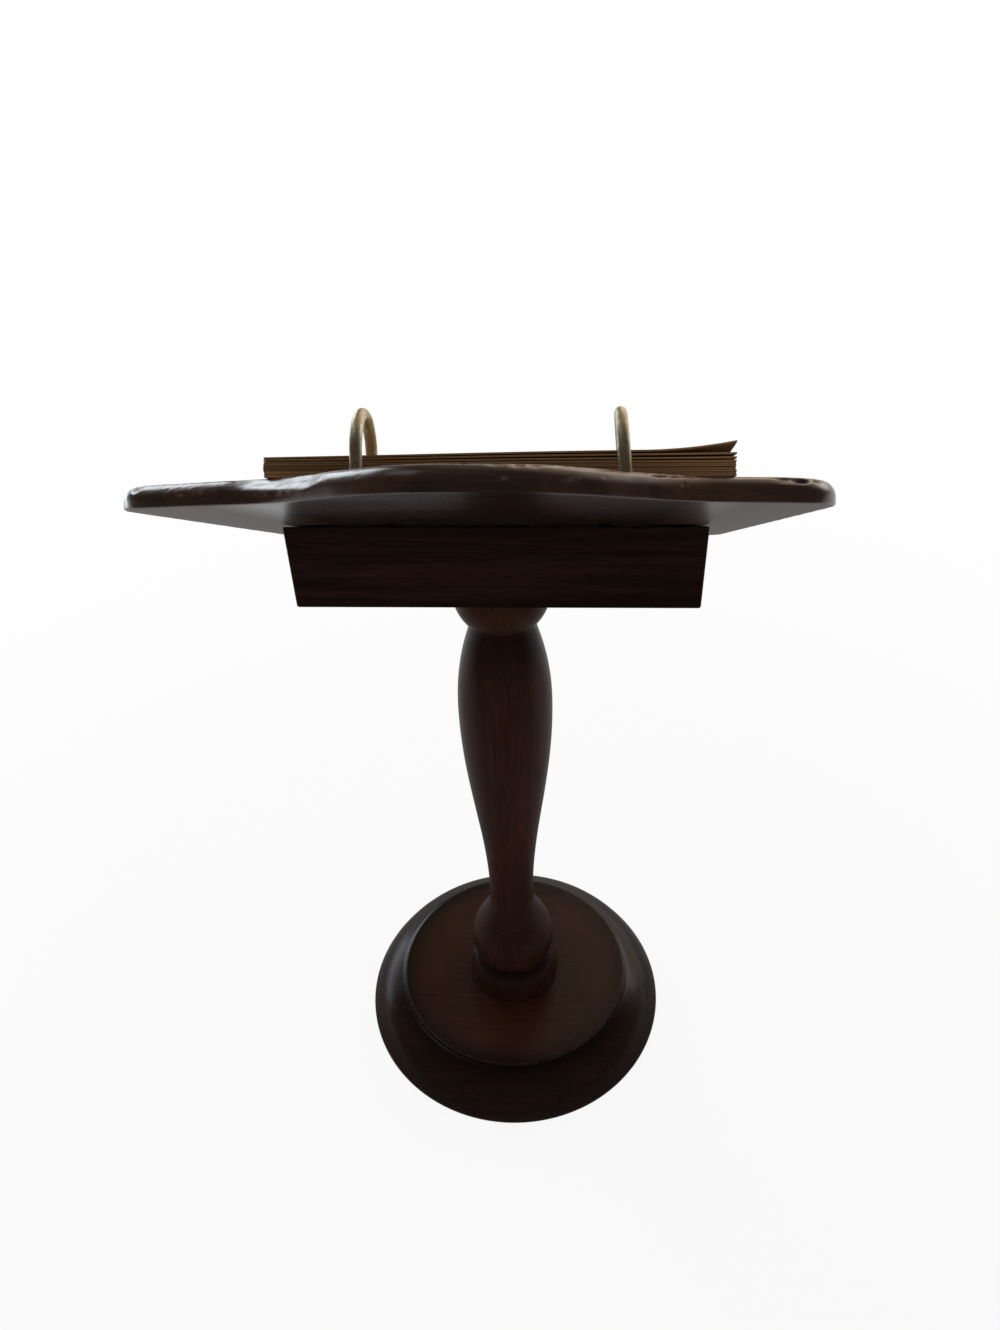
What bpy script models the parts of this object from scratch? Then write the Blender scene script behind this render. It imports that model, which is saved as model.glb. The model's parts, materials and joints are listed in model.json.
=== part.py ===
"""A pedestal cookbook stand: turned base and post, wedge block, crested board, wire arches and loose cards.

Sizes are in millimetres until a mesh is made. The origin is on the table under the post, +Z is up and the
reader stands on the -Y side. The board, arches and cards are built flat in the board's own frame, with X
across, Y up the slope and Z out of the board, and an empty tilts that frame into place.
"""
import math

import bmesh
import bpy
from mathutils import Vector

MM = 0.001

# Gap left between pieces that touch or sit in each other
CLEARANCE = 0.3

# Base
BASE_RADIUS = 90.0
BASE_HEIGHT = 26.0
BASE_TOP_RADIUS = 68.5
BASE_STEP = 2.0
BASE_QUIRK = 1.2
BASE_EDGE_HEIGHT = 3.0
BASE_RIM_BULGE = 2.6
BASE_FOOT_CHAMFER = 1.0

# Dowel between base and post
BASE_DOWEL_RADIUS = 6.0
BASE_DOWEL_IN_BASE = 16.0
BASE_DOWEL_IN_POST = 30.0

# Post, from the base up to the block
POST_LENGTH = 294.0
FOOT_RADIUS = 27.0
FOOT_EDGE_HEIGHT = 2.0
FOOT_HEIGHT = 17.5
GROOVE_RADIUS = 20.5
GROOVE_HEIGHT = 2.0
FLARE_RADIUS = 24.4
FLARE_EDGE_HEIGHT = 34.0
NECK_RADIUS = 12.7
NECK_BOTTOM_HEIGHT = 69.0
NECK_TOP_HEIGHT = 74.0
BELLY_RADIUS = 23.7
BELLY_DROP = 83.0
BELLY_TAPER_POWER = 2.2
PINCH_RADIUS = 15.1
PINCH_DROP = 30.0
BALL_RADIUS = 23.0
BALL_DROP = 12.0

# Dowel between post and block
TOP_DOWEL_RADIUS = 5.0
TOP_DOWEL_IN_POST = 25.0
TOP_DOWEL_IN_BLOCK = 11.0
DOWEL_CHAMFER = 1.0

# Wedge block, whose back face stands behind the post
BLOCK_WIDTH = 171.5
BLOCK_BACK_HEIGHT = 40.6
BLOCK_BACK_OFFSET = 34.2
BLOCK_LIP = 3.0
BLOCK_BEVEL = 1.2

# Board
BOARD_TILT = 32.5
BOARD_WIDTH = 219.9
BOARD_CENTRE = 2.95
BOARD_THICKNESS = 7.5
BOARD_BELOW_SEAM = 118.0
SHOULDER_ABOVE_SEAM = 128.4
LEFT_SHOULDER_FALL = 14.5
RIGHT_SHOULDER_FALL = 35.0
CREST_RISE = 28.7
CREST_CENTRE = -2.6
CREST_FLAT_HALF = 9.9
CREST_HALF = 68.2
TOP_CORNER_RADIUS = 20.0
LOWER_CORNER_RADIUS = 16.0
EDGE_ROUND = 5.0
ARRIS_ROUND = 0.8

# Screws through the board into the block
SCREW_RADIUS = 1.8
SCREW_LENGTH = 25.0
SCREW_HEAD_RADIUS = 3.6
SCREW_HEAD_HEIGHT = 2.6
SCREW_HEAD_RIM = 0.5
SCREW_POINT = 3.5
SCREW_SPACING = 90.0
SCREW_BELOW_SEAM = 24.0

# Wire arches
WIRE_RADIUS = 1.8
ARCH_SPACING = 73.5
ARCH_CENTRE = -7.4
ARCH_LEG_SPACING = 24.0
ARCH_HEIGHT = 19.4
ARCH_MIDDLE_ABOVE_SEAM = 116.0
ARCH_LEG_DEPTH = 5.0
LEFT_ARCH_LEAN = 5.0
LEFT_ARCH_TWIST = 3.0

# Cards
CARD_WIDTH = 134.2
CARD_LENGTH = 203.0
CARD_THICKNESS = 0.25
CARD_CENTRE = -8.35
CARD_HOLE_RADIUS = 4.0
CARD_HOLE_FROM_TOP = 11.0
CARD_PITCH_RIGHT = 0.6
CARD_PITCH_LEFT = 0.85
CURL_REACH = 20.0
CURL_LIFTS = {"front_card": 1.5, "second_card": 0.8}
CARD_NAMES = ["tenth_card", "ninth_card", "eighth_card", "seventh_card", "sixth_card", "fifth_card",
              "fourth_card", "third_card", "second_card", "front_card"]

# Smoothness of round shapes, and how far a cutter reaches past the face that it opens
BASE_STEPS = 72
TURNED_STEPS = 48
SMALL_STEPS = 24
ARCH_STEPS = 18
PROFILE_STEPS = 8
TAPER_STEPS = 12
CORNER_STEPS = 6
EDGE_STEPS = 48
CURL_STEPS = 6
CUT_PAST = 5.0

# Degrees in a square corner
QUARTER_TURN = 90.0

# Places worked out from the sizes above
POST_BOTTOM = BASE_HEIGHT + CLEARANCE
POST_TOP = POST_BOTTOM + POST_LENGTH
BLOCK_BOTTOM = POST_TOP + CLEARANCE
SEAM_HEIGHT = BLOCK_BOTTOM + BLOCK_BACK_HEIGHT
TILT = math.radians(BOARD_TILT)
ARCH_RADIUS = ARCH_LEG_SPACING / 2
ARCH_AXIS_RISE = ARCH_HEIGHT - WIRE_RADIUS - ARCH_RADIUS
CARD_TOP = ARCH_MIDDLE_ABOVE_SEAM - ARCH_RADIUS + CARD_HOLE_FROM_TOP
CARD_RIGHT_EDGE = CARD_CENTRE + CARD_WIDTH / 2


for old in list(bpy.data.objects):
    bpy.data.objects.remove(old, do_unlink=True)

stand = bpy.data.collections.new("cookbook_stand")
cutters = bpy.data.collections.new("cutters")
bpy.context.scene.collection.children.link(stand)
bpy.context.scene.collection.children.link(cutters)


def material(name, colour, roughness, metallic=0.0):
    """Makes a Principled material with the piece's colour."""
    made = bpy.data.materials.new(name)
    made.use_nodes = True
    shader = made.node_tree.nodes["Principled BSDF"]
    shader.inputs["Base Color"].default_value = (*colour, 1.0)
    shader.inputs["Roughness"].default_value = roughness
    shader.inputs["Metallic"].default_value = metallic
    made.diffuse_color = (*colour, 1.0)
    return made


def add(name, data, look, parent=None, place=(0, 0, 0)):
    """Puts a mesh or curve in the stand's collection, at a place in its parent's frame."""
    obj = bpy.data.objects.new(name, data)
    obj.location = Vector(place) * MM
    obj.parent = parent
    if look is None:
        obj.hide_render = True
        obj.display_type = "WIRE"
        cutters.objects.link(obj)
    else:
        data.materials.append(look)
        stand.objects.link(obj)
    return obj


def frame(name, place, turn=(0, 0, 0), parent=None):
    """Makes an empty that carries the pieces of one frame."""
    empty = bpy.data.objects.new(name, None)
    empty.location = Vector(place) * MM
    empty.rotation_euler = turn
    empty.parent = parent
    stand.objects.link(empty)
    return empty


def mesh_from(name, points, faces):
    """Makes a mesh from points in millimetres, with all faces turned outwards."""
    mesh = bpy.data.meshes.new(name)
    mesh.from_pydata([Vector(p) * MM for p in points], [], faces)
    tidy = bmesh.new()
    tidy.from_mesh(mesh)
    bmesh.ops.recalc_face_normals(tidy, faces=tidy.faces)
    tidy.to_mesh(mesh)
    tidy.free()
    return mesh


def turned(name, profile, look, closed=False, steps=TURNED_STEPS, parent=None, place=(0, 0, 0)):
    """Turns a profile of (radius, height) points, listed from top to bottom on its outer side."""
    count = len(profile)
    edges = [(i, i + 1) for i in range(count - 1)]
    if closed:
        edges.append((count - 1, 0))
    mesh = bpy.data.meshes.new(name)
    mesh.from_pydata([(r * MM, 0.0, z * MM) for r, z in profile], edges, [])
    obj = add(name, mesh, look, parent, place)
    screw = obj.modifiers.new("turn", "SCREW")
    screw.axis = "Z"
    screw.steps = steps
    screw.render_steps = steps
    screw.use_merge_vertices = True
    screw.merge_threshold = 0.00001
    screw.use_smooth_shade = False
    return obj


def repeat(obj, offset):
    """Adds a second copy of the piece at an offset in millimetres."""
    array = obj.modifiers.new("pair", "ARRAY")
    array.count = 2
    array.use_relative_offset = False
    array.use_constant_offset = True
    array.constant_offset_displace = Vector(offset) * MM


def cut(obj, cutter):
    """Takes a cutter out of a piece."""
    boolean = obj.modifiers.new("cut", "BOOLEAN")
    boolean.operation = "DIFFERENCE"
    boolean.solver = "EXACT"
    boolean.object = cutter


def blend(start, end, share):
    """Goes from start to end along half a cosine wave."""
    return start + (end - start) * (0.5 - 0.5 * math.cos(math.pi * share))


def shares(count):
    """Evenly spaced values above 0, up to and with 1."""
    return [(i + 1) / count for i in range(count)]


def cylinder(name, radius, low, high, parent, place):
    """Makes an upright round cutter."""
    profile = [(0, high), (radius, high), (radius, low), (0, low)]
    return turned(name, profile, None, steps=SMALL_STEPS, parent=parent, place=place)


dark_wood = material("dark_stained_wood", (0.030, 0.010, 0.006), 0.3)
base_wood = material("base_wood", (0.050, 0.018, 0.010), 0.3)
board_wood = material("board_wood", (0.040, 0.015, 0.009), 0.25)
block_wood = material("block_wood", (0.020, 0.007, 0.005), 0.4)
pale_wood = material("dowel_wood", (0.45, 0.30, 0.16), 0.7)
brass = material("aged_brass", (0.52, 0.44, 0.24), 0.3, 1.0)
steel = material("screw_steel", (0.42, 0.42, 0.42), 0.4, 1.0)
card_stock = material("aged_card", (0.38, 0.22, 0.10), 0.8)


def base_profile():
    """The base's section: dowel bore, flat top, small step, swelling rim and flat underside."""
    bore = BASE_DOWEL_RADIUS + CLEARANCE
    bore_floor = BASE_HEIGHT - BASE_DOWEL_IN_BASE - CLEARANCE
    rim_top = Vector((BASE_TOP_RADIUS + BASE_QUIRK, BASE_HEIGHT - BASE_STEP))
    rim_foot = Vector((BASE_RADIUS, BASE_EDGE_HEIGHT))
    chord = rim_foot - rim_top
    outward = Vector((-chord.y, chord.x)).normalized()
    points = [(0, bore_floor), (bore, bore_floor), (bore, BASE_HEIGHT)]
    points += [(BASE_TOP_RADIUS, BASE_HEIGHT), (BASE_TOP_RADIUS, rim_top.y), tuple(rim_top)]
    for share in shares(PROFILE_STEPS):
        swell = BASE_RIM_BULGE * math.sin(math.pi * share)
        points.append(tuple(rim_top + chord * share + outward * swell))
    points += [(BASE_RADIUS, BASE_FOOT_CHAMFER), (BASE_RADIUS - BASE_FOOT_CHAMFER, 0), (0, 0)]
    return points


def post_profile():
    """The post's section from its top to its foot, with a bore at each end."""
    top_bore = TOP_DOWEL_RADIUS + CLEARANCE
    top_bore_floor = POST_TOP - TOP_DOWEL_IN_POST - CLEARANCE
    base_bore = BASE_DOWEL_RADIUS + CLEARANCE
    base_bore_floor = POST_BOTTOM + BASE_DOWEL_IN_POST + CLEARANCE
    ball = POST_TOP - BALL_DROP
    pinch = POST_TOP - PINCH_DROP
    belly = POST_TOP - BELLY_DROP
    neck_top = POST_BOTTOM + NECK_TOP_HEIGHT
    neck_bottom = POST_BOTTOM + NECK_BOTTOM_HEIGHT
    flare = POST_BOTTOM + FLARE_EDGE_HEIGHT
    groove_top = POST_BOTTOM + FOOT_HEIGHT + GROOVE_HEIGHT
    groove = POST_BOTTOM + FOOT_HEIGHT
    foot_edge = POST_BOTTOM + FOOT_EDGE_HEIGHT

    points = [(0, top_bore_floor), (top_bore, top_bore_floor), (top_bore, POST_TOP)]
    start = math.asin(BALL_DROP / BALL_RADIUS)
    end = -math.acos(PINCH_RADIUS / BALL_RADIUS)
    for share in [0] + shares(PROFILE_STEPS):
        angle = start + (end - start) * share
        points.append((BALL_RADIUS * math.cos(angle), ball + BALL_RADIUS * math.sin(angle)))
    for share in shares(PROFILE_STEPS):
        fall = (1 - share) ** BELLY_TAPER_POWER
        radius = BELLY_RADIUS - (BELLY_RADIUS - PINCH_RADIUS) * fall
        points.append((radius, pinch + (belly - pinch) * share))
    for share in shares(TAPER_STEPS):
        points.append((blend(BELLY_RADIUS, NECK_RADIUS, share), belly + (neck_top - belly) * share))
    points.append((NECK_RADIUS, neck_bottom))
    for share in shares(PROFILE_STEPS):
        height = neck_bottom + (flare - neck_bottom) * share
        points.append((blend(NECK_RADIUS, FLARE_RADIUS, share), height))
    for share in shares(CORNER_STEPS):
        angle = share * math.pi / 2
        points.append((GROOVE_RADIUS + (FLARE_RADIUS - GROOVE_RADIUS) * math.cos(angle),
                       flare + (groove_top - flare) * math.sin(angle)))
    points.append((GROOVE_RADIUS, groove))
    for share in shares(CORNER_STEPS):
        angle = share * math.pi / 2
        points.append((GROOVE_RADIUS + (FOOT_RADIUS - GROOVE_RADIUS) * math.sin(angle),
                       foot_edge + (groove - foot_edge) * math.cos(angle)))
    points += [(FOOT_RADIUS, POST_BOTTOM), (base_bore, POST_BOTTOM)]
    points += [(base_bore, base_bore_floor), (0, base_bore_floor)]
    return points


def dowel_profile(radius, above, below):
    """A chamfered dowel that reaches above and below height 0."""
    narrow = radius - DOWEL_CHAMFER
    return [(0, above), (narrow, above), (radius, above - DOWEL_CHAMFER),
            (radius, DOWEL_CHAMFER - below), (narrow, -below), (0, -below)]


turned("base_disc", base_profile(), base_wood, steps=BASE_STEPS)
turned("post", post_profile(), dark_wood)
turned("base_dowel", dowel_profile(BASE_DOWEL_RADIUS, BASE_DOWEL_IN_POST, BASE_DOWEL_IN_BASE), pale_wood,
       steps=SMALL_STEPS, place=(0, 0, BASE_HEIGHT))
turned("top_dowel", dowel_profile(TOP_DOWEL_RADIUS, TOP_DOWEL_IN_BLOCK, TOP_DOWEL_IN_POST), pale_wood,
       steps=SMALL_STEPS, place=(0, 0, POST_TOP))

board_frame = frame("board_frame", (0, BLOCK_BACK_OFFSET, SEAM_HEIGHT), (TILT, 0, 0))


def block():
    """The wedge: upright back face, flat bottom, and a top that follows the board's underside."""
    half = BLOCK_WIDTH / 2
    back = BLOCK_BACK_OFFSET
    front = back - (BLOCK_BACK_HEIGHT - BLOCK_LIP) / math.tan(TILT)
    drop = CLEARANCE / math.cos(TILT)
    outline = [(back, BLOCK_BOTTOM), (back, SEAM_HEIGHT - drop), (front, BLOCK_BOTTOM + BLOCK_LIP - drop),
               (front, BLOCK_BOTTOM)]
    points = [(x, y, z) for x in (-half, half) for y, z in outline]
    faces = [(0, 1, 2, 3), (7, 6, 5, 4)]
    faces += [(i, 4 + i, 4 + (i + 1) % 4, (i + 1) % 4) for i in range(4)]
    obj = add("wedge_block", mesh_from("wedge_block", points, faces), block_wood)
    bevel = obj.modifiers.new("soft_edges", "BEVEL")
    bevel.width = BLOCK_BEVEL * MM
    bevel.segments = 2
    return obj


def top_edge(x):
    """Height of the board's top edge above the seam: a shallow fall to the sides under a central crest."""
    share = min(max((abs(x - CREST_CENTRE) - CREST_FLAT_HALF) / (CREST_HALF - CREST_FLAT_HALF), 0), 1)
    side = 2 * (x - BOARD_CENTRE) / BOARD_WIDTH
    fall = RIGHT_SHOULDER_FALL if side > 0 else LEFT_SHOULDER_FALL
    return SHOULDER_ABOVE_SEAM - fall * side ** 2 + blend(CREST_RISE, 0, share)


def corner(across, along, radius, start, sweep=QUARTER_TURN):
    """An arc of outline points, anticlockwise from a start angle, with angles in degrees."""
    turns = [math.radians(start + sweep * share) for share in [0] + shares(CORNER_STEPS)]
    return [(across + radius * math.cos(turn), along + radius * math.sin(turn)) for turn in turns]


def shoulder(side):
    """Middle of the rounded corner on one side, where the top edge meets it, and the edge's fall there."""
    middle = BOARD_CENTRE + side * (BOARD_WIDTH / 2 - TOP_CORNER_RADIUS)
    slope = math.atan(top_edge(middle) - top_edge(middle + side))
    meeting = middle + side * TOP_CORNER_RADIUS * math.sin(slope)
    high = top_edge(meeting) - TOP_CORNER_RADIUS * math.cos(slope)
    return middle, high, meeting, math.degrees(slope)


def board_outline():
    """The board's outline, anticlockwise from its lower right corner."""
    reach = BOARD_WIDTH / 2 - LOWER_CORNER_RADIUS
    low = LOWER_CORNER_RADIUS - BOARD_BELOW_SEAM
    right, right_high, start, right_slope = shoulder(1)
    left, left_high, end, left_slope = shoulder(-1)
    across = [start + (end - start) * share for share in shares(EDGE_STEPS)[:-1]]
    outline = corner(BOARD_CENTRE + reach, low, LOWER_CORNER_RADIUS, -QUARTER_TURN)
    outline += corner(right, right_high, TOP_CORNER_RADIUS, 0, QUARTER_TURN - right_slope)
    outline += [(x, top_edge(x)) for x in across]
    outline += corner(left, left_high, TOP_CORNER_RADIUS, QUARTER_TURN + left_slope,
                      QUARTER_TURN - left_slope)
    outline += corner(BOARD_CENTRE - reach, low, LOWER_CORNER_RADIUS, 2 * QUARTER_TURN)
    return outline


def inset(outline, depth):
    """Moves an anticlockwise outline inwards by a depth."""
    moved = []
    count = len(outline)
    for i, (x, y) in enumerate(outline):
        before = Vector(outline[i - 1])
        after = Vector(outline[(i + 1) % count])
        along = (after - before).normalized()
        moved.append((x - along.y * depth, y + along.x * depth))
    return moved


def board():
    """The board as rings of its outline: small lower arris, straight edge, rounded top edge, flat faces."""
    outline = board_outline()
    count = len(outline)
    levels = [(ARRIS_ROUND, 0.0), (0.0, ARRIS_ROUND)]
    for share in [0] + shares(CORNER_STEPS):
        angle = share * math.pi / 2
        levels.append((EDGE_ROUND * (1 - math.cos(angle)),
                       BOARD_THICKNESS - EDGE_ROUND + EDGE_ROUND * math.sin(angle)))
    points = []
    for depth, height in levels:
        points += [(x, y, height) for x, y in inset(outline, depth)]
    faces = [tuple(reversed(range(count))), tuple(range(len(points) - count, len(points)))]
    for ring in range(len(levels) - 1):
        for i in range(count):
            a = ring * count + i
            b = ring * count + (i + 1) % count
            faces.append((a, b, b + count, a + count))
    return add("reading_board", mesh_from("reading_board", points, faces), board_wood, board_frame)


wedge_block = block()
reading_board = board()


def screw_profile(slack):
    """A countersunk screw hanging from height 0, its whole skin moved out by a slack."""
    head = SCREW_HEAD_RADIUS + slack
    shank = SCREW_RADIUS + slack
    top = CUT_PAST if slack else 0
    return [(0, top), (head, top), (head, -SCREW_HEAD_RIM - slack), (shank, -SCREW_HEAD_HEIGHT - slack),
            (shank, SCREW_POINT - SCREW_LENGTH), (0, -SCREW_LENGTH - slack)]


for side, across in (("left", -SCREW_SPACING / 2), ("right", SCREW_SPACING / 2)):
    screw_place = (across, -SCREW_BELOW_SEAM, BOARD_THICKNESS - CLEARANCE)
    turned(side + "_board_screw", screw_profile(0.0), steel, steps=SMALL_STEPS, parent=board_frame,
           place=screw_place)
    screw_hole = turned(side + "_screw_hole", screw_profile(CLEARANCE), None, steps=SMALL_STEPS,
                        parent=board_frame, place=screw_place)
    cut(reading_board, screw_hole)
    cut(wedge_block, screw_hole)
cut(wedge_block, cylinder("top_dowel_hole", TOP_DOWEL_RADIUS + CLEARANCE, -CUT_PAST,
                          TOP_DOWEL_IN_BLOCK + CLEARANCE, None, (0, 0, POST_TOP)))


def arch(name, across, lean, twist):
    """A wire arch whose legs stand in two sockets of the board."""
    holder = frame(name + "_frame", (across, ARCH_MIDDLE_ABOVE_SEAM, BOARD_THICKNESS),
                   (0, math.radians(lean), math.radians(twist)), board_frame)
    path = [(0, -ARCH_RADIUS, -ARCH_LEG_DEPTH)]
    for share in [0] + shares(ARCH_STEPS):
        angle = math.pi * share
        path.append((0, -ARCH_RADIUS * math.cos(angle), ARCH_AXIS_RISE + ARCH_RADIUS * math.sin(angle)))
    path.append((0, ARCH_RADIUS, -ARCH_LEG_DEPTH))
    curve = bpy.data.curves.new(name, "CURVE")
    curve.dimensions = "3D"
    curve.bevel_depth = WIRE_RADIUS * MM
    curve.bevel_resolution = 2
    curve.use_fill_caps = True
    spline = curve.splines.new("POLY")
    spline.points.add(len(path) - 1)
    for point, place in zip(spline.points, path):
        point.co = (*(Vector(place) * MM), 1.0)
    add(name, curve, brass, holder)
    sockets = cylinder(name + "_sockets", WIRE_RADIUS + CLEARANCE, -ARCH_LEG_DEPTH - CLEARANCE, CUT_PAST,
                       holder, (0, -ARCH_RADIUS, 0))
    repeat(sockets, (0, ARCH_LEG_SPACING, 0))
    cut(reading_board, sockets)


arch("right_arch", ARCH_CENTRE + ARCH_SPACING / 2, 0.0, 0.0)
arch("left_arch", ARCH_CENTRE - ARCH_SPACING / 2, LEFT_ARCH_LEAN, -LEFT_ARCH_TWIST)

# The cards turn about the line through the centres of the arches
card_axis = frame("card_axis", (0, ARCH_MIDDLE_ABOVE_SEAM, BOARD_THICKNESS + ARCH_AXIS_RISE),
                  parent=board_frame)


def card_hole_cutters():
    """Tall cutters for the punched holes; the left one follows its arch's lean up to the turning axis."""
    shift = ARCH_AXIS_RISE * math.sin(math.radians(LEFT_ARCH_LEAN))
    made = []
    for side, across in (("right", ARCH_SPACING / 2), ("left", shift - ARCH_SPACING / 2)):
        made.append(cylinder(side + "_card_holes", CARD_HOLE_RADIUS, -2 * ARCH_HEIGHT, 2 * ARCH_HEIGHT,
                             card_axis, (ARCH_CENTRE + across, -ARCH_RADIUS, 0)))
    return made


def card_sheet(name, lift):
    """One card, flat or with its top left corner curled up by the given lift."""
    columns = [-CARD_WIDTH, 0.0]
    rows = [CARD_TOP - CARD_LENGTH, CARD_TOP]
    if lift:
        curled = [CURL_REACH * share for share in [0] + shares(CURL_STEPS)]
        columns = [reach - CARD_WIDTH for reach in curled] + [0.0]
        rows = [CARD_TOP - CARD_LENGTH] + [CARD_TOP - reach for reach in reversed(curled)]
    wide = len(columns)
    tall = len(rows)
    points = []
    for side in (0.0, CARD_THICKNESS):
        for y in rows:
            for x in columns:
                from_corner = ((x + CARD_WIDTH) + (CARD_TOP - y)) / CURL_REACH
                rise = lift * max(1 - from_corner, 0) ** 2
                points.append((x, y - ARCH_MIDDLE_ABOVE_SEAM, side + rise))
    faces = []
    lower = wide * tall
    for j in range(tall - 1):
        for i in range(wide - 1):
            a = j * wide + i
            faces.append((a, a + wide, a + wide + 1, a + 1))
            faces.append((lower + a, lower + a + 1, lower + a + wide + 1, lower + a + wide))
    border = list(range(wide))
    border += [j * wide + wide - 1 for j in range(1, tall)]
    border += [(tall - 1) * wide + i for i in reversed(range(wide - 1))]
    border += [j * wide for j in reversed(range(1, tall - 1))]
    for a, b in zip(border, border[1:] + border[:1]):
        faces.append((a, b, lower + b, lower + a))
    return mesh_from(name, points, faces)


hole_cutters = card_hole_cutters()
for order, card_name in enumerate(CARD_NAMES):
    rest = CLEARANCE + order * CARD_PITCH_RIGHT - ARCH_AXIS_RISE
    card = add(card_name, card_sheet(card_name, CURL_LIFTS.get(card_name, 0.0)), card_stock, card_axis,
               (CARD_RIGHT_EDGE, 0, rest))
    card.rotation_euler = (0, math.atan(order * (CARD_PITCH_LEFT - CARD_PITCH_RIGHT) / CARD_WIDTH), 0)
    for hole_cutter in hole_cutters:
        cut(card, hole_cutter)
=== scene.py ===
"""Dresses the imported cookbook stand: lacquered dark wood, a worn board edge, brass arches and aged cards.

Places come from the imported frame. The board, arches, screws and cards are made in the board's own
coordinates: X across, V up the slope from the cards' turning axis, N out of the board.
"""
import json
import math
import random

import bmesh
import bpy
import numpy as np
from mathutils import Matrix, Vector, noise

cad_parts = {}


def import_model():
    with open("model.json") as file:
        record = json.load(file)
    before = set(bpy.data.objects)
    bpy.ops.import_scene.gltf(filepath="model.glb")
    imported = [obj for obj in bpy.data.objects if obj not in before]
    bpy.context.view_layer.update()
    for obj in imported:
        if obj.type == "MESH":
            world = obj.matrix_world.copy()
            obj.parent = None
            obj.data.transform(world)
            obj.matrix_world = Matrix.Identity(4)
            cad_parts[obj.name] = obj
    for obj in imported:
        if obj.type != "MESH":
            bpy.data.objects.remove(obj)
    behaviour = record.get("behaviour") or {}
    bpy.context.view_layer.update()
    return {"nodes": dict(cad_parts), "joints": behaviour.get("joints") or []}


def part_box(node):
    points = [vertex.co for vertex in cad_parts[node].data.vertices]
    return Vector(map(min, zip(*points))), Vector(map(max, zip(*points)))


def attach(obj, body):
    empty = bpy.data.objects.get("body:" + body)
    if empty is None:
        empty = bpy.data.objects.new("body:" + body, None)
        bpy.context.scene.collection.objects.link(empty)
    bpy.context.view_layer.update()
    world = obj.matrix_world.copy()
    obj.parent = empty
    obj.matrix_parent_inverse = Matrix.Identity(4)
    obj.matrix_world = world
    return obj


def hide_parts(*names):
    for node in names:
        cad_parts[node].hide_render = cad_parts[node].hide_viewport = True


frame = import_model()
joints = {joint["name"]: joint for joint in frame["joints"]}

MM = 0.001
WHITE = (1.0, 1.0, 1.0)

# Camera of the photograph: place in metres, angles in degrees, focal length on a 36 mm long side
CAMERA_PLACE = (-0.0257, 0.3833, 0.5602)
CAMERA_PITCH = 37.62
CAMERA_YAW = 4.12
CAMERA_ROLL = -2.16
CAMERA_LENS = 27.07
SENSOR = 36.0

# Strength of the room's light, and in mirrored rays of the dim room behind the camera and the floor's shadow
WORLD_LIGHT = 0.64
MIRRORED_ROOM = 0.085
MIRRORED_SHADOW = 0.2
ROOM_COLOUR = (1.0, 0.8, 0.62)

# Floor: its grey under the shadow, and in metres from its middle where the mirrored shadow ends, where the
# mirrored room begins (by Y) and where plain white takes over
FLOOR_RADIUS = 6.0
FLOOR_GREY = 0.66
FLOOR_SHADOW_REACH = (0.1, 0.6)
FLOOR_ROOM_REACH = (0.0, 0.3)
FLOOR_PLAIN_REACH = (0.3, 0.9)
FLOOR_PLAIN_SHARE = 0.9

# Far wall in mirrored rays: it fades out by the ray's Y, and to a low level by its X
WALL_END = (-0.6, -0.2)
WALL_SIDE = (-0.05, 0.12)
WALL_SIDE_LEVEL = 0.1

# Lamps: name, place, aim and size in metres, power in watts, colour
BOARD_EDGE = (0.05, 0.14, 0.43)
LAMPS = [
    ("window_left", (1.2, -0.95, 1.05), BOARD_EDGE, (1.2, 0.8), 0.9, (0.9, 0.95, 1.0)),
    ("window_low", (1.05, -1.25, 0.82), BOARD_EDGE, (0.7, 0.75), 9.5, (0.88, 0.94, 1.0)),
    ("window_sill", (1.1, -0.68, 0.1), (0.08, 0, 0.02), (0.7, 0.14), 1.7, (0.8, 0.9, 1.0)),
    ("window_right", (-1.2, -1.0, 0.75), (0, 0, 0.3), (0.8, 0.6), 3.6, WHITE),
    ("skylight", (0.85, -0.35, 2.0), (0, 0, 0.4), (0.8, 0.8), 2.2, WHITE),
    ("far_lamp", (-0.5, -1.5, 1.0), (0, 0.12, 0.44), (0.9, 0.6), 2.8, (1.0, 0.75, 0.5)),
]

# Wood: grain axes, how dark hollows and pores are, how dull rubbed places are, and heights of the relief
ACROSS_GRAIN = 0
UPRIGHT_GRAIN = 2
HOLLOW_SHADE = 0.3
PORE_SHARE = 0.6
RUBBED_ROUGHNESS = 0.45
RIPPLE_HEIGHT = 0.12 * MM
FIBRE_HEIGHT = 0.03 * MM

# Bare underside of the board: a lighter, warmer tint that is partly its own colour and partly a painted warm
# sheen of what it mirrors, and a middle strip in front of the block that keeps little of that tint, as
# painted shade and a painted reflection of the dark block. The strip fades out between two distances from the
# middle;
# KEPT_SHINE and the strip's stain share are shares of what the bare part has
BLOCK_STRIP_END = (60 * MM, 80 * MM)
BARE_ROUGHNESS = 0.42
KEPT_ROUGHNESS = 0.24
KEPT_SHINE = 0.55
BARE_TINT_AND_SHEEN = (0.075, 0.043, 0.024)
STRIP_SHADE_STAIN = 0.08
BARE_RIPPLE = 0.1

# Turned pieces
TURNED_STEPS = 160
PROFILE_SPACING = 0.4 * MM
PROFILE_SMOOTHING = 3
BORE_LIMIT = 10 * MM
OUT_OF_TRUE = 0.06 * MM
OUT_OF_TRUE_NOISE = 2.2
OUT_OF_TRUE_RISE = 12
WORN_TURN = math.radians(18)
WORN_START = 0.6
WORN_LIMIT = 0.6
HOLLOW_TURN = math.radians(25)
# How far dirt and painted shade reach from a hollow of a turned profile
DIRT_AND_SHADE_REACH = 8 * MM

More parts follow.
